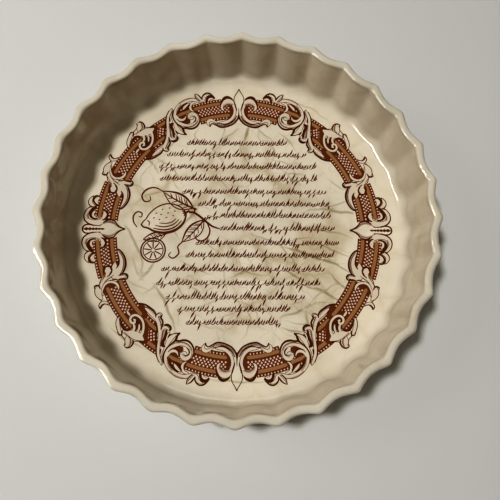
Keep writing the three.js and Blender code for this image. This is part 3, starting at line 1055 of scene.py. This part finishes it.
figures = {
    "axisFleur": {
        "dark": [
            [(0, 108.6, 0.7), (1.1, 106.4, 0.55), (2.6, 104, 0.5), (3.5, 101.6, 0.5), (3.7, 99.4, 0.6),
             (3.4, 97.6, 0.6), (2.6, 95, 0.9), (1.9, 92.8, 0.9), (1.5, 90.8, 0.5)],
            [(0, 93, 0.35), (0, 90.5, 0.5), (0, 87.5, 0.9), (0, 85.3, 1.4)],
            [(0, 88.5, 0.7), (0, 86.5, 1.6), (0, 85.2, 2.2)],
        ],
    },
    "axisScroll": {
        "leaf": [
            [(14.4, 81.2, 0.5), (12.2, 81.5, 1.6), (9.2, 81.9, 2.1), (6.2, 83.6, 2.1), (4.1, 86.3, 1.9),
             (3, 89.6, 1.8), (3.1, 93.2, 2), (4.6, 96.9, 3), (7.6, 98.7, 4), (10.6, 97.4, 3.6),
             (12.3, 94.6, 2.2), (12.2, 92.4, 1.5), (10.8, 91.2, 0.6)],
            [(15.8, 80.9, 0.6), (18.2, 82.5, 1.5), (20.6, 83.3, 2.1), (22.4, 82.3, 2.2), (22.4, 80.4, 1.5),
             (21.4, 79, 0.3)],
        ],
        "shade": [
            [(0.9, 85.6, 0.5), (2.9, 82.9, 1.6), (6.3, 80.5, 2), (10, 79.1, 2.3), (13.4, 79.1, 2.3),
             (16.4, 80.2, 1.2), (18.2, 81.2, 0.4)],
            [(4.6, 95.8, 1.4), (7.4, 96.3, 2.8), (10, 95.5, 3.2), (11.6, 93.6, 2.2)],
        ],
        "ground": [
            [(4.7, 94.1, 2.4), (8.4, 94.2, 2.8), (11.8, 93.4, 2.2)],
        ],
        "dark": [
            [(4.4, 99.9, 0.5), (6.2, 101.4, 1.3), (8.6, 102.1, 1.9), (10.8, 101.3, 2), (12.4, 98.9, 1.6),
             (13.6, 95.8, 1.1), (13.9, 93, 0.7)],
            [(0, 86, 0.9), (1.5, 83.2, 1), (4, 80.5, 1), (7.5, 78.7, 1), (11, 77.8, 1.1), (13.6, 77.9, 1.1),
             (16.5, 79.3, 0.9), (19, 80.5, 0.8), (20.2, 80, 0.8), (21.1, 78.3, 0.9)],
            [(1.6, 86.8, 0.7), (3.6, 83.4, 0.8), (6.6, 81.1, 0.8), (10, 80, 0.8), (12.6, 80.6, 0.6),
             (14.8, 81, 0.8)],
        ],
    },
    "outerSprig": {
        "dark": [
            [(18.3, 101.2, 1.2), (19.6, 103, 1.2), (21.8, 104.9, 1), (24.3, 105.2, 0.9), (26.4, 103.8, 0.9),
             (27.4, 101.9, 0.9), (27.7, 100.5, 0.9)],
            [(18.6, 101.5, 1.4), (20.4, 102.5, 2), (22.4, 102.2, 2.2), (23.6, 100.6, 1.8),
             (24.2, 98.6, 1.4), (24.3, 97.2, 0.8)],
            [(27.9, 100.6, 0.9), (29.5, 102.6, 0.8), (31.2, 103.9, 0.6), (32.8, 104.2, 0.4),
             (32.7, 102.4, 0.6), (31.5, 100.4, 0.8), (29.6, 98.6, 0.8)],
        ],
        "leaf": [
            [(22.6, 103.9, 0.7), (24.6, 103.2, 1.8), (26, 101.6, 1.9), (26.2, 99.8, 1.6), (27.3, 98.7, 1.2),
             (29, 98.4, 0.5)],
            [(18.9, 100.2, 0.7), (20.5, 100.8, 1.3), (22, 100.2, 1.5), (22.6, 98.9, 0.9)],
            [(28.2, 99.6, 1.2), (29.6, 101.6, 2), (31.3, 103.2, 1.5), (32.9, 104.3, 0.3)],
        ],
    },
    "loopScroll": {
        "leaf": [
            [(29.3, 98, 0.8), (32.2, 99.3, 2), (36, 99.6, 2.4), (40, 98.2, 2.5), (43.6, 95.4, 2.4),
             (46.2, 91.7, 2.2), (47.2, 87.6, 1.9), (46.4, 83.9, 2), (43.8, 81, 2.2), (40.2, 79.2, 2.2),
             (36.6, 78.7, 2.1), (33.4, 79.7, 1.9), (31.3, 82, 1.8), (30.9, 85, 1.8), (32.1, 87.5, 2.3),
             (34.5, 87.9, 3.4), (35.5, 86.2, 4.4), (34.9, 85.4, 3.4)],
            [(38.9, 86.3, 0.4), (39.9, 84.1, 1.3), (41.9, 83.2, 1.8), (44.3, 84, 1.6), (46, 86.4, 1.2)],
            [(32.4, 97.6, 1), (34.8, 96.7, 1.6), (36, 94.6, 1.7), (35.7, 92.2, 1.5), (34.4, 90.7, 0.9),
             (33.2, 90.3, 0.3)],
            [(36.9, 96.6, 0.4), (38.8, 95, 1.5), (40.5, 93, 1.6), (41.4, 91.3, 0.4)],
        ],
        "dark": [
            [(33.2, 86.3, 0.5), (32, 85.6, 0.8), (31.6, 84, 0.9), (32.2, 82.4, 0.9), (33.4, 81.2, 0.6)],
            [(28.6, 84, 0.9), (29, 81.2, 1.1), (30.6, 78.4, 1.2), (33, 76.7, 1.4), (35.8, 76.3, 1.4),
             (38.4, 76.7, 1.2), (40.6, 76.6, 1.4)],
            [(38.5, 71.8, 1.3), (39.7, 73.2, 1.2), (40.5, 75.2, 1.6), (41.4, 76.9, 1.4), (43.8, 78.7, 0.9),
             (46.4, 81.3, 0.9), (48.3, 84.8, 1), (48.9, 88.2, 1.2), (48.5, 91.2, 0.7)],
            [(38.2, 86.8, 0.8), (38.5, 84.4, 1), (39.8, 82.2, 1.1), (41.6, 81.5, 0.8), (44, 82.4, 0.6),
             (45.6, 84, 0.4)],
            [(36.2, 96, 0.5), (37.3, 93.9, 1.2), (38.3, 91.9, 1.2), (40.4, 90.5, 0.9), (42, 90.6, 0.4)],
            [(38.6, 96.9, 0.6), (41, 95.6, 1), (43, 93.2, 0.9), (44.2, 90.4, 0.9), (44.4, 88.2, 0.8)],
        ],
        "shade": [
            [(30.6, 82.8, 1), (31.6, 80.4, 1.2), (33.8, 78.7, 1.3), (37, 77.8, 1.1), (40.5, 78.2, 0.7)],
            [(42.6, 95.6, 1.4), (44.7, 92.6, 2.2), (45.5, 89.6, 2.2), (45.2, 87, 1)],
            [(33, 101, 0.7), (36.8, 100.4, 1.2), (40.8, 98.9, 1.3), (44.2, 96.2, 1)],
        ],
        "ground": [
            [(36.5, 90.5, 3), (39.5, 90, 5), (43, 88.8, 6), (44.2, 88, 3)],
            [(36.8, 94.5, 5), (40, 93.5, 6), (42.5, 90.5, 6), (43, 87, 5), (41.5, 84, 5),
             (38.5, 82.4, 4.6), (35.6, 82, 2.6)],
        ],
        "tan": [
            [(36.8, 90.6, 1.2), (39.5, 89.4, 1.8), (42.3, 88.1, 1.8), (44.1, 87.4, 1.2)],
        ],
    },
    "stalk": {
        "leaf": [
            [(49.6, 92, 0.5), (50.7, 89.5, 1.5), (51.9, 86.2, 1.8), (52.3, 83, 1.8), (51.9, 79, 1.9),
             (51.4, 75, 2.2), (51.4, 71, 2.5), (51.9, 67.2, 2.5), (53.1, 63.8, 2.4), (54.9, 61, 2.6),
             (57.6, 58.4, 3), (60.3, 56.2, 2.4), (62.2, 54.9, 0.6)],
            [(39.9, 72.4, 0.5), (42, 73.2, 1.9), (44.4, 75.3, 3), (46.2, 78.3, 2.4), (47.6, 81.6, 1.4),
             (48.9, 85, 1), (49.6, 88, 0.8)],
            [(45.4, 71.6, 1), (46.4, 73.6, 1), (47, 76, 0.8)],
            [(45.8, 69.2, 0.8), (47.4, 67.9, 1.6), (49.3, 68.2, 1.8), (50.4, 69.8, 1.2)],
            [(51.6, 60.4, 0.9), (52.6, 59.6, 1.3), (53.6, 60.2, 1.2), (53.9, 61.6, 1)],
        ],
        "dark": [
            [(51.6, 90.5, 0.4), (52.6, 88, 0.6), (53.4, 85.2, 0.9), (53.6, 80.3, 0.9), (53.8, 76, 0.8),
             (53.7, 72.7, 0.8), (53.5, 69.7, 0.8), (54.2, 66.9, 0.8), (55.3, 64, 0.7)],
            [(50.9, 85.2, 0.7), (50.8, 83.6, 1), (50.4, 81.8, 0.6)],
            [(48.1, 80.4, 1), (49.3, 79.6, 2.2), (49.2, 77.2, 2), (48.1, 74.6, 1.8), (47.5, 72, 1.8),
             (47.3, 70, 1.4)],
            [(38.9, 71.6, 0.6), (41.5, 71.8, 0.5), (43.8, 72.5, 0.5), (44.7, 72.7, 0.8)],
            [(44.9, 72.6, 1), (45.9, 74.2, 0.9)],
            [(44.9, 70.2, 0.8), (44.4, 68.6, 1.4), (45.3, 66.9, 1.6), (47, 66.1, 1.5), (48.8, 66.3, 0.9)],
            [(50.9, 69.6, 0.6), (50.5, 67.4, 1.2), (49.8, 65.2, 1.1), (50.2, 63.3, 1.2), (51.2, 61.6, 1.2),
             (51, 60.3, 1.2), (50.3, 59.5, 0.5)],
            [(50.2, 59.3, 0.4), (51.2, 58.4, 0.45), (52.8, 58.2, 0.45), (54.3, 59.2, 0.5)],
            [(54.8, 61, 0.7), (54.9, 59, 1), (56.2, 56.8, 1.1), (58.4, 55, 1.1), (60.8, 53.4, 1.2),
             (63.4, 52.4, 1.2), (66, 52, 0.9)],
            [(60.7, 58.2, 0.7), (61.6, 57, 1), (62.2, 56.2, 0.5)],
        ],
        "shade": [
            [(50.8, 79.6, 1.6), (50.5, 77.2, 2.2), (49.9, 74, 2), (49.4, 71, 1.8), (48.7, 69.6, 0.8)],
            [(51.4, 67, 0.8), (51.4, 64.6, 1.2), (52.3, 62.6, 1.2), (52.6, 61.2, 0.6)],
            [(55.8, 59, 1), (57.6, 56.7, 1.6), (60.2, 54.9, 1.6), (62.6, 53.9, 1)],
        ],
        "cover": [
            [(60.9, 57.6, 0.8), (62.6, 55.3, 2), (64.6, 53.2, 2.2), (66.2, 51.8, 1)],
        ],
        "ground": [
            [(53.9, 75.6, 2), (54.4, 73.4, 2.6), (54.8, 71, 2.4)],
        ],
    },
    "claw": {
        "leaf": [
            [(62.6, 75.9, 1.6), (64.6, 74.6, 4.2), (67.6, 73.3, 5.2), (70.6, 72.2, 4.4), (73.6, 71.2, 3),
             (76, 70.4, 1.2)],
            [(64.2, 73.6, 2.2), (62.9, 70.6, 1.6), (62.6, 67.2, 1.5), (63.3, 63.9, 1.5), (65.2, 61.3, 1.6),
             (68, 59.8, 1.5), (70.6, 60.4, 1.6), (71.7, 62.5, 1.6), (71, 64.6, 1.4), (69.2, 65, 1.5),
             (68.3, 63.6, 1.7), (69.2, 62.7, 1.2)],
            [(66.6, 71.6, 1.2), (65.7, 69.3, 1.3), (65.5, 67, 1.1), (65.7, 65.6, 0.5)],
            [(69.6, 71, 1.6), (68.8, 68.8, 1.6), (68.9, 66.8, 1.5), (69.8, 65.6, 0.6)],
            [(70.9, 72.6, 2), (72.6, 75.2, 3), (72.4, 78, 3.4), (72.6, 79.9, 1.8), (73.9, 79.9, 1)],
            [(77.6, 72, 1.2), (78.6, 70, 2), (79.6, 67, 2.4), (80, 64, 2), (79.7, 61.8, 0.9)],
            [(72.3, 59.6, 1.2), (73.4, 58.2, 1.4), (74.2, 56.6, 0.5)],
        ],
        "ground": [
            [(73.9, 70.2, 1.4), (75.7, 68.3, 2.2), (77.4, 66, 1.4)],
        ],
        "cover": [
            [(60.6, 76.6, 3.4), (61.7, 74.4, 5), (61.2, 70.4, 4.2), (60.9, 66.8, 3.4), (62.6, 63.6, 2.4)],
            [(69.9, 59, 1), (71.4, 57, 1.6), (72.7, 55.2, 0.8)],
        ],
        "dark": [
            [(69.2, 76.4, 0.9), (68.9, 77.9, 1.1), (69.8, 79.8, 1), (71.2, 81, 0.9), (72.8, 81.4, 0.7),
             (74.2, 80.9, 0.5), (75, 80.1, 0.5)],
            [(71.6, 74.6, 1), (72.2, 73.6, 0.4)],
            [(75, 80, 0.5), (74.4, 78.2, 0.5), (74.7, 76, 0.5), (76, 74.2, 0.5), (77, 73, 0.6)],
            [(62.8, 77.9, 1.2), (64, 77.3, 0.6), (66, 77, 0.5), (68.4, 77.2, 0.5)],
            [(76.9, 72.9, 1), (76.7, 71, 0.9), (76.5, 69.6, 0.6)],
            [(77, 72.9, 0.8), (78.4, 73, 0.6), (79.3, 72, 0.5), (79.9, 70, 0.5), (80.7, 67.6, 0.5),
             (81.2, 65, 0.5), (80.7, 62.4, 0.5), (79.8, 60.4, 0.6)],
            [(65.6, 70.6, 0.5), (64.3, 69.2, 1), (63.9, 67, 1), (64.5, 64.4, 1), (66.2, 62.3, 1.1),
             (68.5, 61.2, 1), (70.1, 61.7, 0.9), (70.7, 62.9, 0.7)],
            [(68.4, 70.6, 0.6), (67.4, 69.2, 1.1), (67, 67, 1.4), (66.8, 65, 2.2), (67.3, 63.6, 1.4)],
            [(70.2, 66.3, 0.8), (70.3, 68, 0.9), (71.6, 69.4, 1), (73.6, 70, 1), (75.6, 69.2, 1),
             (77, 67.4, 1.1), (77.8, 65, 1.1), (78, 62.8, 0.8)],
        ],
        "shade": [
            [(71.3, 80, 1.2), (70.6, 77.6, 2), (71, 75.4, 1.4)],
            [(70.8, 75, 1.2), (72.8, 73.4, 1.5), (75, 71.2, 1)],
        ],
    },
    "endLeaf": {
        "leaf": [
            [(91.6, 49, 1.2), (93.4, 46.8, 3.4), (94.4, 44.2, 4.4), (94.2, 41.8, 3.6), (92.6, 39.6, 2.4),
             (91.2, 37, 2), (89.6, 34.8, 2.4), (87.2, 33.2, 2.6)],
            [(87.2, 51.9, 0.8), (89.6, 51.4, 1.6), (91.6, 52, 1.8), (92.7, 53.6, 1.2), (92.5, 54.8, 0.6)],
        ],
        "dark": [
            [(89.4, 52.3, 0.7), (90.8, 53, 1.1), (91.7, 54.2, 1.2), (92.1, 55.4, 0.9)],
            [(86.3, 53.4, 0.45), (88, 52.6, 0.5), (89.6, 52.3, 0.6)],
            [(92.4, 55.2, 0.5), (93.2, 53.6, 0.5), (92.7, 51.9, 0.5), (91.7, 50.4, 0.6), (93.2, 49.2, 0.5),
             (95, 47.7, 0.5), (96.4, 45.6, 0.5), (96.7, 43, 0.5), (97.1, 41, 0.7)],
            [(97.2, 40.6, 0.9), (95.8, 39.9, 1.1), (94.3, 40.2, 1), (93.5, 41.2, 0.9), (93.1, 42.2, 0.6)],
            [(93.8, 39.9, 0.5), (93.6, 37.6, 0.5), (93, 35.8, 0.6), (92.3, 34.8, 0.6)],
        ],
        "shade": [
            [(91.9, 41.4, 0.8), (91.1, 38.8, 1), (89.3, 36.2, 1), (86.9, 34.2, 1), (84.6, 32.6, 0.7)],
        ],
    },
    "strapCollar": {
        "leaf": [
            [(80.6, 42.6, 0.5), (81, 40.6, 1.3), (82.3, 38.6, 1.6), (84.8, 37.4, 1.6), (87.6, 37.4, 1.6),
             (90, 38.9, 1.5), (91.3, 41.4, 1.3), (91.7, 44, 0.8), (91.2, 46.6, 0.4)],
        ],
    },
    "crossingLeaf": {
        "leaf": [
            [(77, 33.4, 1.4), (79.2, 33.9, 2), (81.8, 34.4, 2.6), (84.2, 33.6, 3), (85.2, 31, 2.8),
             (84.7, 28.2, 3.2), (84.3, 26, 2.8), (84.3, 24.4, 1.4)],
            [(83.5, 32, 4.5), (81.6, 29.6, 4.2), (80.2, 26.6, 3), (79.8, 23.2, 2.4), (80.6, 20, 1.9),
             (82, 17.2, 1), (82.9, 15.6, 0.4)],
            [(89.9, 33.2, 0.8), (88.9, 31.4, 2.6), (88.8, 29.6, 4.2), (88.9, 28.4, 3.2)],
        ],
        "dark": [
            [(81.4, 35.8, 0.6), (79.2, 35.2, 1), (77, 35.5, 1), (75.5, 34.9, 1), (75.1, 33.4, 1.2),
             (76, 32, 1.2), (77.6, 31.6, 1), (79, 32, 0.8)],
            [(80.1, 32.4, 0.7), (78.8, 31.2, 1), (77.6, 28.9, 1.3), (76.9, 26, 1.3), (77, 23, 1.2),
             (77.9, 20, 1.1), (79.4, 17.4, 1.1), (81.4, 15.3, 1.1), (82.9, 14.4, 0.8)],
            [(83.2, 27.9, 0.5), (82.1, 26.2, 0.9), (81.6, 24.4, 1.2), (81.7, 22.6, 1)],
            [(81.8, 36, 0.7), (83.6, 35.5, 0.9), (85.4, 36, 0.7), (87, 36.7, 0.6)],
            [(89, 34, 0.5), (87.3, 32.4, 0.8), (86.2, 30.6, 0.8), (86.1, 28.6, 0.9), (87.1, 27, 1),
             (89, 26.5, 1.1), (90.9, 27.2, 1), (91.7, 29, 0.9), (91.8, 30.6, 0.7), (91.3, 33, 0.5)],
        ],
        "shade": [
            [(78.8, 29.6, 0.7), (78.2, 26.6, 1.2), (78.2, 23.4, 1.4), (79.1, 20.2, 1.3), (80.8, 17.4, 1.1),
             (82.3, 15.8, 0.6)],
        ],
    },
    "sideLobes": {
        "shade": [
            [(104, 12.8, 1), (105.4, 10, 1.6), (104.8, 7.2, 1.4)],
        ],
        "dark": [
            [(97.3, 23.2, 0.7), (98.8, 24.1, 0.9), (100.6, 23.9, 1.3), (101.9, 22.6, 1.6),
             (102.1, 20.8, 1.4), (101.2, 19, 1.2), (99.8, 17.7, 1.2), (98.4, 17.2, 0.9)],
            [(102, 24.2, 0.5), (104, 23, 0.5), (105.4, 20.9, 0.55), (105.4, 18.8, 0.6), (104.4, 17, 0.8),
             (103.1, 15.9, 0.9)],
            [(99.8, 16.6, 1.2), (101.3, 15, 2.2), (102.8, 13.1, 2.4), (103.5, 11, 2.2), (103.2, 9.2, 1.8),
             (102, 7.9, 1.4), (100.1, 7.2, 1), (98.2, 7.4, 0.6)],
            [(104.1, 16, 0.5), (106.2, 14.2, 0.6), (107.7, 11.4, 0.7), (107.9, 8.4, 0.8), (106.8, 5.8, 0.9),
             (104.6, 3.9, 0.9), (101.6, 2.8, 0.8), (98.4, 2.4, 0.5), (95.6, 2.3, 0.4)],
            [(93.4, 13.4, 0.8), (92, 12.6, 1), (91.4, 10.6, 1.2), (91.9, 8.6, 1.4), (93.2, 7, 1.2),
             (94.6, 6.5, 0.8)],
        ],
        "leaf": [
            [(98.6, 22.6, 1.6), (99.9, 21.4, 2.6), (100, 19.8, 2.2), (99, 18.4, 1.2)],
            [(102.9, 22.9, 1), (104.1, 21, 2.2), (104, 18.9, 2.4), (102.6, 17.4, 2), (101.3, 16.9, 1)],
            [(100.6, 12.6, 1.2), (101.9, 10.8, 1.8), (101.2, 9, 1.4), (99.4, 8.2, 1)],
            [(103, 15.2, 1), (105.2, 13.6, 2), (106.4, 10.8, 2.6), (106, 7.6, 2.8), (103.6, 5.2, 3),
             (100.2, 4.4, 3.6), (97, 4.7, 4), (94.4, 6.4, 3.2), (93.4, 9.4, 3), (93.8, 12, 1.6)],
        ],
    },
    "spadeLeaf": {
        "dark": [
            [(79.2, 0, 1.3), (80.6, 0.6, 0.9), (82.8, 1.8, 0.9), (84.8, 3.8, 0.8), (86.2, 5.7, 0.8),
             (88, 6.5, 1), (90.4, 6.6, 1.1), (92.6, 5.6, 1), (94.2, 4.4, 0.6)],
        ],
        "shade": [
            [(80.8, 0.6, 0.8), (83.4, 1.6, 1.6), (86, 3.8, 1.8), (88.8, 5.2, 2), (91.6, 5, 1.4),
             (93.6, 3.8, 0.6)],
        ],
    },
    "axisStick": {
        "ground": [
            [(93, 0, 0.5), (94.6, 0, 1.4), (95.6, 0, 0.8), (96.6, 0, 1.6), (97.6, 0, 0.9), (98.7, 0, 1.9),
             (99.8, 0, 1), (100.9, 0, 2.1), (102, 0, 1.1), (103.1, 0, 2.3), (104.3, 0, 1.2),
             (105.5, 0, 2.4), (106.8, 0, 1.3), (107.6, 0, 0.8)],
        ],
        "dark": [
            [(100.8, 2.3, 0.5), (103.4, 3.1, 0.8), (106, 3, 0.9), (107.8, 1.7, 1), (108.3, 0, 1)],
        ],
    },
}

vines = {
    # height of each row and its left and right ends, millimetres
    "rows": (
        (65.4, -36.4, 33.7), (56.5, -50.5, 47.8), (47.2, -55.7, 54.5), (37.9, -55, 55.3),
        (28.2, -38.6, 61.3), (19.2, -27.4, 65), (10.6, -20.7, 64.2), (1.3, -11.8, 66.5),
        (-9.1, -28.2, 69.4), (-18, -34.9, 65), (-27.7, -51.3, 58.3), (-37.4, -54.2, 55.3),
        (-47.1, -47.5, 44.1), (-55.3, -39.3, 34.4), (-64.2, -33.4, 29.2)),
    "seed": 3,
    "sprigLength": (6.5, 17),
    "gap": 2.2,
    "joins": 0.7,               # what is left of a row joins its last sprig if it is shorter than this share
    "drop": 1.3,                # the stem runs this far below the row's middle
    "leafSteps": 6,
    "curlSteps": 14,
    "curlTurn": 1.4,
}

# A lemon, its leaves and a slice, left of the rows. "growing" rows: what, x, y, turn in degrees, size.

lemonSprig = {
    "fruit": [
        [(14.2, 0.2, 0.6), (13.2, 3, 0.5), (10.2, 6.8, 0.55), (4, 10, 0.6), (-3.5, 9.8, 0.55),
         (-10, 6.8, 0.5), (-13.6, 3.6, 0.5), (-16, 2.2, 0.5), (-17.8, 0.4, 0.7)],
        [(-17.8, 0.4, 0.7), (-16.6, -1.7, 0.8), (-13.8, -3.4, 0.9), (-10, -6.9, 1.2), (-3.5, -9.9, 1.6),
         (4, -10.1, 1.6), (10.5, -6.9, 1.2), (13.9, -2, 0.8), (14.2, 0.2, 0.6)],
        [(-10.4, -4.4, 0.25), (-3.4, -7.8, 0.65), (3.8, -8, 0.65), (10, -4.8, 0.25)],
        [(-8.6, -2.8, 0.2), (-3, -5.6, 0.5), (3.4, -5.8, 0.5), (8.6, -3.4, 0.2)],
        [(-5.4, -2, 0.2), (-1, -3.6, 0.4), (3.4, -3.7, 0.4), (6.6, -2.2, 0.2)],
        [(-13, 2.4, 0.25), (-12, 0.6, 0.5), (-12.9, -1.8, 0.25)],
        [(16.8, 0.6, 0.9), (14.4, 0.2, 1.2), (12.2, 2.2, 0.3)],
        [(14.4, 0.2, 1.1), (12, 0, 0.3)],
        [(14.4, 0.2, 1.1), (12.4, -2.1, 0.3)],
        [(-6, 5.4, 0.4), (-5.4, 5.6, 0.4)], [(-1, 7, 0.4), (-0.4, 7.1, 0.4)],
        [(4, 6.6, 0.4), (4.6, 6.5, 0.4)], [(-8.4, 2.6, 0.4), (-7.8, 2.7, 0.4)],
        [(-3, 3.6, 0.4), (-2.4, 3.7, 0.4)], [(2, 3.4, 0.4), (2.6, 3.4, 0.4)],
        [(7, 3.4, 0.4), (7.6, 3.2, 0.4)], [(-5, 0.4, 0.4), (-4.4, 0.5, 0.4)],
        [(0, 0.4, 0.4), (0.6, 0.4, 0.4)], [(5, 0.4, 0.4), (5.6, 0.3, 0.4)],
    ],
    "leaf": [
        [(0, 0, 0.5), (4, 3.4, 0.5), (9, 5.6, 0.5), (14.5, 5.4, 0.5), (20, 2.9, 0.45), (25.5, -0.8, 0.4)],
        [(0, 0, 0.6), (4.6, -2.8, 0.9), (10, -4.6, 1.3), (16, -4.4, 1.2), (21, -2.8, 0.8), (25.5, -0.8, 0.4)],
        [(-2, -0.2, 1), (4, 0.4, 0.9), (12, 0.6, 0.7), (19, 0.3, 0.5), (24, -0.4, 0.3)],
        [(3.6, 0.4, 0.35), (6.8, 3.6, 0.25)], [(8, 0.6, 0.35), (11.4, 4.3, 0.25)],
        [(12.4, 0.6, 0.35), (15.8, 3.8, 0.25)], [(16.6, 0.4, 0.35), (19.4, 2.2, 0.25)],
        [(4.4, 0.3, 0.5), (7.6, -2.8, 0.3)], [(8.8, 0.5, 0.5), (12.2, -3.5, 0.3)],
        [(13.2, 0.5, 0.5), (16.4, -3.2, 0.3)], [(17.2, 0.3, 0.4), (20, -1.9, 0.25)],
        [(6, 0.3, 0.3), (9.6, -3.2, 0.25)], [(10.6, 0.5, 0.3), (14, -3.3, 0.25)],
    ],
    "branches": [
        [(-34, 12.6, 1.2), (-31, 12.2, 1.2), (-27, 9.6, 1.2), (-22.5, 5.8, 1.2), (-18, 2.4, 1),
         (-13.5, 0.8, 0.6)],
        [(-31, 12, 0.8), (-30.6, 14, 0.8), (-31.6, 15.6, 0.8)],
        [(-70.4, 1.4, 0.3), (-73, 5, 0.6), (-73.4, 9.6, 0.7), (-70.8, 12.6, 0.7), (-67.6, 11.6, 0.6),
         (-67.8, 9, 0.4), (-69.6, 9.2, 0.3)],
        [(-53, 27.6, 0.3), (-59, 30.6, 0.7), (-65, 29.2, 0.9), (-68.2, 24.6, 0.8), (-66.2, 20.4, 0.7),
         (-62.2, 21, 0.5), (-62.6, 24.4, 0.3)],
        [(-22, 5.4, 0.4), (-19.6, -0.6, 0.7), (-21.4, -6, 0.8), (-26, -8.4, 0.7), (-29.6, -6, 0.5),
         (-28.2, -3.4, 0.3)],
        [(-38.8, -9.2, 0.5), (-41.6, -12.4, 0.6), (-40.8, -17, 0.7), (-44.6, -20.6, 0.6),
         (-47.8, -18.6, 0.4), (-46.2, -16.4, 0.3)],
    ],
    "growing": (
        ("fruit", -50.5, 8, 17, 1), ("leaf", -31.6, 15.6, 152, 0.98), ("leaf", -24, 7, 229, 0.86),
        ("leaf", -50.5, -3.4, 196, 0.62)),
    "slice": (-58.6, -15, 8.4, 6.9),    # middle, and the radii of the rind and the pith
    "rindInk": 0.7,
    "pithInk": 0.35,
    "arcStep": 15,                      # degrees
    "segments": 9,
    "segmentTurn": 12,
    # points of the walls between them: share of the pith's radius, millimetres more, and width
    "segmentWall": ((0, 1.1, 0.3), (0.55, 0, 0.55), (1, -0.7, 0.35)),
    "bolder": 0.15 * mm,
}


def strokesOf(kind):
    return [line for figure in figures.values() for line in figure.get(kind, ())]


def strapArcs(outer, inner):
    return [arcLine(radius, start, end, width)
            for radius, width, spans in (straps[outer], straps[inner]) for start, end in spans]


def latticeRows():
    # rows of diamonds, every other one moved on by half a gem
    pitch = straps["latticePitch"]
    rows = []
    for number, radius in enumerate(straps["latticeRows"]):
        for start, end in straps["lattice"]:
            begin = (math.ceil(start / pitch) + 0.5 * (number % 2)) * pitch
            # a hair over a whole number of gaps, so that the row is never one gem short
            gaps = math.floor((end - begin) / pitch) + straps["latticeHair"]
            rows.append(arcLine(radius, begin, begin + gaps * pitch, math.radians(pitch) * radius))
    return rows


def layBorder(strokes):
    gems = gemRowTree()
    dark, ground, gemInk = ink("redBrownInk"), ink("groundInk"), ink("pinkWhiteInk")
    layPrint("print_ground", strapArcs("groundOuter", "groundInner") + strokesOf("ground"),
             strokes, 0, ground, Round_Ends=False)
    layPrint("print_ribbons", strapArcs("ribbonOuter", "ribbonInner") + strokesOf("tan"),
             strokes, 1, ink("tanInk"))
    beads = [arcLine(radius, start, end, straps["beadPitch"])
             for radius, spans in (straps["beadsOuter"], straps["beadsInner"]) for start, end in spans]
    length, width = straps["looseLine"]
    beads += [[(x, y, width), (x + length, y, width)] for x, y in straps["looseBeads"]]
    for name, rows, size, sides in (("print_beads", beads, "beadSize", 8),
                                    ("print_lattice", latticeRows(), "latticeSize", 4)):
        long, wide = straps[size]
        layPrint(name, rows, gems, 1, gemInk, Long=long * mm, Wide=wide * mm, Sides=sides)
    layPrint("print_gaps", strokesOf("cover"), strokes, 1.5, ground)
    layPrint("print_leaf_edges", strokesOf("leaf"), strokes, 2, dark, Spread=printed["leafEdge"])
    layPrint("print_leaves", strokesOf("leaf"), strokes, 3, ink("leafInk"))
    layPrint("print_leaf_shading", strokesOf("shade"), hatchTree(), 4, ink("shadeInk"), **hatching)
    layPrint("print_lines", strokesOf("dark"), strokes, 5, dark)


def layVines(material):
    chance = random.Random(vines["seed"])
    shortest = vines["sprigLength"][0]
    sprigs = []
    for y, left, right in vines["rows"]:
        start = left
        while start < right:
            end = start + chance.uniform(*vines["sprigLength"])
            if right - end < shortest * vines["joins"]:
                end = right
            sprigs.append([(start, y - vines["drop"], 1), (end, y - vines["drop"], 1)])
            start = end + vines["gap"]
    layPrint("print_vines", sprigs, vineTree(), 0, material, Fourfold=False, Seed=vines["seed"])


def placed(lines, x, y, turn, size):
    # strokes drawn round their own origin, put in place on the floor
    c = math.cos(math.radians(turn)) * size
    s = math.sin(math.radians(turn)) * size
    return [[(x + px * c - py * s, y + px * s + py * c, width * size) for px, py, width in line]
            for line in lines]


def layLemons(strokes, material):
    lines = list(lemonSprig["branches"])
    for kind, x, y, turn, size in lemonSprig["growing"]:
        lines += placed(lemonSprig[kind], x, y, turn, size)
    x, y, rind, pith = lemonSprig["slice"]

    def spot(radius, degrees, width):
        a = math.radians(degrees)
        return x + radius * math.cos(a), y + radius * math.sin(a), width

    lines += [[spot(radius, degrees, width) for degrees in range(0, 361, lemonSprig["arcStep"])]
              for radius, width in ((rind, lemonSprig["rindInk"]), (pith, lemonSprig["pithInk"]))]
    for i in range(lemonSprig["segments"]):
        turn = 360 / lemonSprig["segments"] * i + lemonSprig["segmentTurn"]
        lines.append([spot(pith * share + more, turn, width)
                      for share, more, width in lemonSprig["segmentWall"]])
    layPrint("print_lemon_sprig", lines, strokes, 0, material, Fourfold=False, Spread=lemonSprig["bolder"])


makeCamera()
makeStudioFloor()
lightStudio()
makeDish()
flatRibbon = flatRibbonGroup()
layOnFloor = layOnFloorGroup()
strokes = inkStrokeTree()
layBorder(strokes)
script = ink("scriptInk")
layVines(script)
layLemons(strokes, script)
